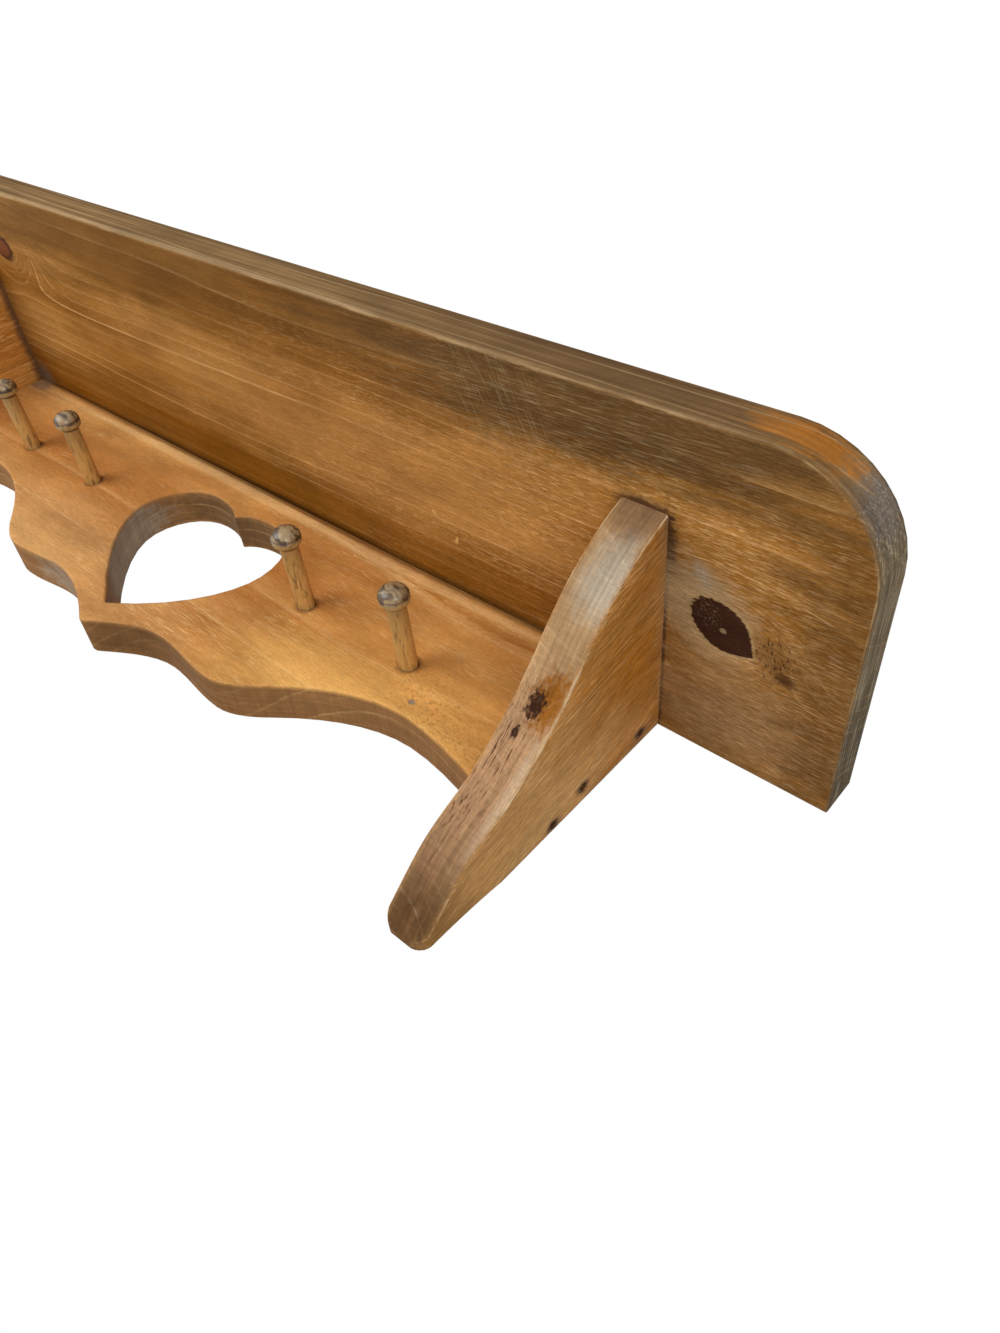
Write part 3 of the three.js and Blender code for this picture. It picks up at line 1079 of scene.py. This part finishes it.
SHELF_PATCHES = (
    # The strip beside the back board: painted shade where light hardly reaches, and the stain darker where
    # hands hardly reach.
    Patch((-40, -10, -9.5), (270, 36, 6), "#6C3F00", 0.8, bits=(90, 6)),
    # Painted shade in the corner against the back board.
    Patch((0, -18.5, -9.5), (250, 3.6, 4), "#2C1803", 0.85, soft=0.7, ragged=0.2, bits=(40, 2)),
    # Paler and more golden in the middle.
    Patch((80, -74, -9.5), (140, 26, 6), "#B9854A", 0.5, soft=0.7, ragged=0.4, bits=(80, 9)),
    # Darker stain behind the front edge on the left.
    Patch((-60, -126, -9.5), (200, 22, 6), "#66421A", 0.7, ragged=0.4, bits=(90, 5)),
    # Grey weathering behind the front edge, scratched along and across the grain.
    Patch((200, -130, -9.5), (120, 25, 8), "#573E23", 0.85, soft=0.5, ragged=0.4, bits=(60, 7)),
    Patch(
        (190, -118, -9.5), (80, 16, 6), "#8F7A5A", 0.6, turn=(0, 0, -3), soft=0.5, bits=(30, 6),
        marks=(14, 0.6),
    ),
    Patch(
        (168, -112, -9.5), (26, 18, 6), "#8F7A5A", 0.45, turn=(0, 0, 64), soft=0.5, bits=(10, 6),
        marks=(16, 0.7),
    ),
    # The dark upper part of the front edge and its rubbed lower part.
    Patch(
        (0, -134, 9), (320, 4, 3.4), "#5F472B", 0.6, soft=0.5, ragged=0.5, bits=(80, 1.8), side=Side.EDGE,
    ),
    Patch(
        (-120, -134, -9.2), (320, 4, 2.4), "#BFA27A", 0.75, soft=0.5, ragged=0.45, bits=(60, 1.4),
        side=Side.EDGE,
    ),
    # The right part of the front edge is darker, the end is grey, and the corner has a grey painted sheen.
    Patch((205, -134, 2), (90, 6, 12), "#63492F", 0.8, bits=(80, 1.8), side=Side.EDGE),
    Patch((314, -58, 0), (22, 74, 16), "#76664F", 0.95, soft=0.2, ragged=0.2, bits=(10, 6), side=Side.EDGE),
    Patch((312, -16, 0), (22, 34, 16), "#453A2B", 0.8, ragged=0.2, bits=(10, 6), side=Side.EDGE),
    # A painted sheen on the corner.
    Patch((303, -120, 2), (11, 10, 11), "#74695F", 0.95, bits=(8, 3), side=Side.EDGE),
    Patch(
        (312, -68, 0), (66, 24, 16), "#B9AD94", 0.6, turn=(0, 0, 90), soft=0.5, bits=(8, 3), side=Side.EDGE,
        marks=(24, 0.7),
    ),
    # Bright stain left on the front edge before the corner.
    Patch((279, -132, 1), (17, 8, 6.5), "#AE6E2A", 0.9, ragged=0.5, bits=(16, 2.2), side=Side.EDGE),
    # Painted shade where the bracket's nose meets the shelf, and along its outer face.
    Patch((230, -97.6, -9.5), (11.5, 3.2, 4), "#38231A", 0.85, soft=0.5, ragged=0.2, bits=(2.4, 1.5)),
    Patch((239.5, -85, -9.5), (3.4, 14, 4), "#38231A", 0.8, soft=0.5, ragged=0.35, bits=(2.4, 1.5)),
    Patch((239.5, -40, -9.5), (1.4, 50, 4), "#38231A", 0.8, soft=0.4, bits=(2.4, 1.5)),
    # Smudges between the knot and the end.
    Patch(
        (286, -93, -9.5), (10, 4.5, 4), "#56371A", 0.6, turn=(0, 0, 16), soft=0.7, ragged=0.35, bits=(4, 2),
    ),
    # Paler wood below the knot, and darker stain towards the end.
    Patch((268, -24, -9.5), (32, 20, 4), "#A27C54", 0.6, soft=0.7, ragged=0.4, bits=(16, 5)),
    Patch((306, -50, -9.5), (16, 66, 4), "#5A3916", 0.68, ragged=0.4, bits=(16, 5)),
    # Short pale scratches along the grain at the right end.
    Patch((278, -40, -9.5), (36, 58, 4), "#C6A276", 0.45, ragged=0.4, bits=(16, 5), marks=(7, 0.5)),
    # The knot: a grey halo, a pale blob, speckled bark, then the black heart in a tan line.
    Patch((254, -66, -9.5), (20, 15, 4), "#B39B76", 0.68, turn=(0, 0, 35), soft=0.5, bits=(10, 1.4)),
    Patch((253.6, -80, -9.5), (5, 2.6, 4), "#A2937C", 0.55, turn=(0, 0, 60), soft=0.7, bits=(4, 2)),
    Patch(
        (282, -58.5, -9.5), (9, 7, 4), "#6A4722", 0.7, turn=(0, 0, 50), soft=0.7, ragged=0.4, bits=(4, 2),
    ),
    Patch(
        (282, -58.5, -9.5), (9, 7, 4), "#38200F", 1.0, turn=(0, 0, 80), ragged=0.4, bits=(2.4, 1.2),
        marks=(2.6, 0.9),
    ),
    Patch((286.8, -51.8, -9.5), (3.6, 2.4, 4), "#43260F", 0.8, ragged=0.4, bits=(2.4, 1.2)),
    Patch(
        (262.6, -61.9, -9.5), (15, 10.8, 6), "#A98A5E", 0.7, turn=(0, 0, 30), soft=0.08, ragged=0.06,
        bits=(1.6, 0.8), outline=Outline.DROP,
    ),
    Patch(
        (262.8, -61.8, -9.5), (13.6, 9.4, 6), "#3A2014", 1.0, turn=(0, 0, 30), soft=0.05, ragged=0.07,
        bits=(1.6, 0.8), outline=Outline.DROP,
    ),
    Patch(
        (256.5, -65.5, -9.5), (5.5, 4.5, 4), "#7A6350", 0.8, turn=(0, 0, 60), soft=0.4, bits=(1.6, 0.8),
        marks=(1.3, 0.55),
    ),
    Patch((262.9, -60.9, -9.5), (1.3, 1, 4), "#9A8262", 0.8, soft=0.3, ragged=0.2, bits=(1, 0.6)),
    # The knot at the left end.
    Patch((-198, -103, -9.5), (10, 7, 6), "#3E2010", 1.0, soft=0.2, ragged=0.15, bits=(3, 1.2)),
    Patch((-199, -103, -9.5), (7.6, 5, 6), "#6E3F22", 1.0, soft=0.3, ragged=0.2, bits=(3, 1.2)),
    # Grey dust in the corner by the left bracket.
    Patch((-214, -24, -9.5), (8, 7, 4), "#75655A", 0.7, soft=0.7, bits=(4, 2)),
    # Small nicks that show bare wood.
    Patch((138.7, -46.1, -9.5), (0.8, 2.2, 3), "#D0A25E", 0.8, turn=(0, 0, 20), soft=0.4),
    Patch((127.1, -55.3, -9.5), (0.7, 1.2, 3), "#D0A25E", 0.7, turn=(0, 0, -30), soft=0.4),
)

SHELF_FINISH = StainedPine(
    name="brown_stained_pine_shelf",
    cut=Cut(along=Axis.X, thin=Axis.Z, heart=(-158.0, 62.0), ring=4.4, sway=7.0, seed=1.0),
    stain=Stain(dark="#7C4C14", mid="#98682E", light="#AA7A40", line="#D2A670", worn="#B89A70"),
    figure=0.8,
    fleck=0.7,
    fibre=0.3,
    fibre_size=(5.5, 0.5),
    fibre_fade=(-60.0, 200.0),
    pore_size=(5.5, 0.5),
    wear=0.5,
    edge="#846C4C",
    edge_cover=0.75,
    edge_lines=(0.3, 0.05),
    edge_rough=0.8,
    edge_figure=0.45,
    gloss=0.045,
    knots=(
        Knot(centre=(262.0, -62.0, -9.5), reach=(23.0, 15.0, 40.0), lift=55.0),
        Knot(centre=(-197.0, -104.0, -9.5), reach=(26.0, 14.0, 40.0), lift=45.0),
    ),
    patches=SHELF_PATCHES,
)

BACK_PATCHES = (
    # Golden towards the right end, redder towards the left.
    Patch((160, -19, -84), (70, 6, 34), "#E9B364", 0.6, soft=0.7, bits=(40, 6)),
    Patch((-60, -19, -46), (240, 6, 30), "#A8642C", 0.42, ragged=0.4, bits=(50, 9)),
    Patch((-60, -19, -98), (120, 6, 26), "#DCA76C", 0.5, ragged=0.4, bits=(50, 9)),
    # A painted highlight in the pale band under the shelf, then painted shade in the corner itself.
    Patch((0, -19, -14.8), (245, 4, 2.6), "#E6B87C", 0.55, soft=0.5, ragged=0.25, bits=(60, 1.6)),
    Patch((0, -19, -9.5), (245, 4, 1.9), "#3A2208", 0.9, soft=0.5, ragged=0.2, bits=(20, 1)),
    # The heart's walls, grey where the saw left them rough.
    Patch(
        (-30, -9.5, -78), (33, 16, 33), "#9C8B76", 0.95, soft=0.3, ragged=0.2, bits=(8, 3), side=Side.EDGE,
    ),
    Patch((0, -12, -27), (44, 12, 10), "#694E33", 0.8, soft=0.4, bits=(12, 3), side=Side.EDGE),
    # Dark stains on the scallops' walls.
    Patch((34, -9.5, -116), (46, 14, 12), "#6B4A2C", 0.7, ragged=0.5, bits=(18, 4), side=Side.EDGE),
    Patch((112, -9.5, -127), (26, 14, 11), "#6E4630", 0.7, ragged=0.5, bits=(12, 3), side=Side.EDGE),
    # Dark rings round the pegs' feet, and grey dust in the corner by the left bracket.
    *(
        Patch((across, -19, -56.5), (5.2, 4, 5.2), "#6B3F16", 0.75, soft=0.25, ragged=0.15, bits=(2, 1.5))
        for across in (-146.5, -83.5, 89.5, 152.5)
    ),
    Patch((-215, -19, -14), (10, 4, 6), "#857464", 0.6, bits=(5, 2)),
    # A grey dent and a scatter of dark specks.
    Patch((168.3, -19, -70.6), (1.6, 3, 1.2), "#857868", 0.9, soft=0.5, bits=(2, 1)),
    Patch(
        (184, -19, -74), (30, 6, 14), "#7A4A1A", 0.4, turn=(0, 30, 0), soft=0.7, ragged=0.4, bits=(10, 6),
        marks=(2.2, 1.1),
    ),
)

BACK_FINISH = StainedPine(
    name="honey_stained_pine_back",
    cut=Cut(along=Axis.X, thin=Axis.Y, heart=(60.0, -40.0), ring=5.0, sway=7.0, seed=3.0),
    stain=Stain(dark="#A96B32", mid="#C58A48", light="#D6A05C", line="#EBC184", worn="#CFA870"),
    fibre=0.14,
    fibre_size=(4.5, 0.7),
    wear=0.2,
    edge="#86603C",
    edge_cover=0.9,
    edge_lines=(0.12, 0.12),
    patches=BACK_PATCHES,
)

BRACKET_PATCHES = (
    # The outer face is redder under the shelf and darker there as painted shade, and deep orange below
    # that.
    Patch((239.5, -60, -12), (6, 60, 24), "#9E672E", 0.6, soft=0.5, bits=(16, 2)),
    Patch((239.5, -34, -38), (6, 30, 22), "#A4640C", 0.6, ragged=0.4, bits=(24, 4)),
    Patch((239.5, -8, -104), (6, 44, 62), "#C6975F", 0.6, bits=(24, 4)),
    Patch((239.5, -4, -134), (6, 14, 16), "#74501F", 0.7, soft=0.7, bits=(24, 4)),
    # The front edge: brown under the shelf, a silvery painted sheen on the nose, dark at the toe.
    Patch((230, -98, -7), (14, 16, 17), "#7C5D42", 0.85, soft=0.5, bits=(6, 3), side=Side.EDGE),
    Patch((234, -84, -33), (9, 12, 15), "#ACA292", 0.7, ragged=0.2, bits=(5, 3), side=Side.EDGE),
    Patch((230, -12, -134), (14, 26, 26), "#583B1E", 0.95, soft=0.7, bits=(8, 3), side=Side.EDGE),
    Patch((237.5, -37, -92), (2.2, 14, 30), "#CDB79A", 0.7, ragged=0.25, bits=(10, 2), side=Side.EDGE),
    # Reddish brown wood and streaks under two small knots, and orange stain beside one.
    Patch(
        (228, -38, -90), (36, 12, 14), "#B28663", 0.6, turn=(0, 59, 90), soft=0.7, bits=(8, 3),
        side=Side.EDGE,
    ),
    Patch(
        (226, -38, -88), (30, 7.5, 14), "#5A3420", 0.95, turn=(0, 59, 90), soft=0.7, bits=(14, 1.2),
        side=Side.EDGE, marks=(9, 0.6),
    ),
    Patch(
        (235, -55, -66), (7, 9, 12), "#8A520E", 0.95, soft=0.5, ragged=0.45, bits=(5, 1.6), side=Side.EDGE,
    ),
    Patch(
        (229.9, -53.2, -68.2), (3.1, 5.4, 4.6), "#2A1206", 0.95, soft=0.4, ragged=0.7, bits=(1.8, 1.1),
        side=Side.EDGE,
    ),
    Patch(
        (227.8, -46.4, -76.7), (1.3, 3, 2.2), "#32160A", 0.95, soft=0.4, ragged=0.5, bits=(1.8, 1.1),
        side=Side.EDGE,
    ),
    # Dark rims round the side nails and along the edge on the wall.
    *(
        Patch(
            (239.5, forward, up), (3, 2.6, 3.4), "#3A2210", 0.85, soft=0.5, ragged=0.35, bits=(2.6, 1),
            side=Side.ANY,
        )
        for forward, up in ((-6.1, -21.6), (-7.9, -56.7), (-3.4, -74.1))
    ),
    Patch((239.5, 0.4, -70), (4, 1.6, 80), "#4A2C14", 0.7, soft=0.5, bits=(8, 1), side=Side.ANY),
)

BRACKET_FINISH = StainedPine(
    name="honey_stained_pine_bracket",
    cut=Cut(along=Axis.Z, thin=Axis.X, heart=(218.0, 14.0), ring=3.0, sway=4.0, seed=5.0, tilt=-12.0),
    stain=Stain(dark="#9A5F22", mid="#B97D36", light="#CB9250", line="#EAC186", worn="#DFC59E"),
    fleck=0.9,
    fibre=0.34,
    pore_size=(11.0, 0.5),
    wear=0.6,
    edge="#A0835F",
    edge_cover=0.85,
    edge_lines=(0.2, 0.1),
    edge_rough=0.55,
    edge_figure=0.13,
    gloss=0.06,
    knots=(Knot(centre=(229.7, -53.2, -68.2), reach=(6.0, 9.0, 10.0), lift=8.0),),
    patches=BRACKET_PATCHES,
)

LEFT_BRACKET_PATCHES = (
    # Darker along the corner with the shelf.
    Patch((-220.5, -60, -9.5), (3, 90, 3.4), "#4A3428", 0.8, soft=0.7, bits=(8, 3), side=Side.ANY),
)

LEFT_BRACKET_FINISH = StainedPine(
    name="honey_stained_pine_left_bracket",
    cut=Cut(along=Axis.Z, thin=Axis.X, heart=(-215.0, 20.0), ring=3.2, sway=5.0, seed=7.0),
    stain=Stain(dark="#A26828", mid="#BE8038", light="#CF944A", line="#DFB070", worn="#E2C69A"),
    fleck=0.75,
    wear=0.45,
    edge="#8A6B47",
    edge_cover=0.8,
    gloss=0.1,
    patches=LEFT_BRACKET_PATCHES,
)


def main() -> None:
    """Builds the shelf piece by piece, then the studio and the camera."""
    logging.basicConfig(level=logging.INFO, format="%(message)s")
    log = logging.getLogger("wall_shelf")
    boards = (
        Board("shelf_board", "pine_shelf", "shelf_pine", SHELF_FINISH),
        Board("back_board", "pine_back", "rail_pine", BACK_FINISH),
        Board("bracket_left", "pine_bracket_left", "bracket_pine", LEFT_BRACKET_FINISH),
        Board("bracket_right", "pine_bracket_right", "bracket_pine", BRACKET_FINISH),
    )
    for board in boards:
        piece = board.build()
        log.info("%s: %d faces", piece.name, len(piece.data.polygons))
    wood = TurnedWood("stained_beech_peg", 50.3).material()
    for number, lean in ((1, (-3.0, 1.0)), (2, (-2.0, 0.2)), (3, (-3.0, -0.6)), (4, (-1.7, 0.0))):
        piece = Peg(number, lean).build(wood)
        log.info("%s: %d faces", piece.name, len(piece.data.polygons))
    log.info("nails: %d", Nails().dress(OldIron("old_iron_nail").material()))
    Studio().build()
    Viewpoint().build()
    bpy.context.scene.view_settings.view_transform = "Standard"


if __name__ == "__main__":
    main()
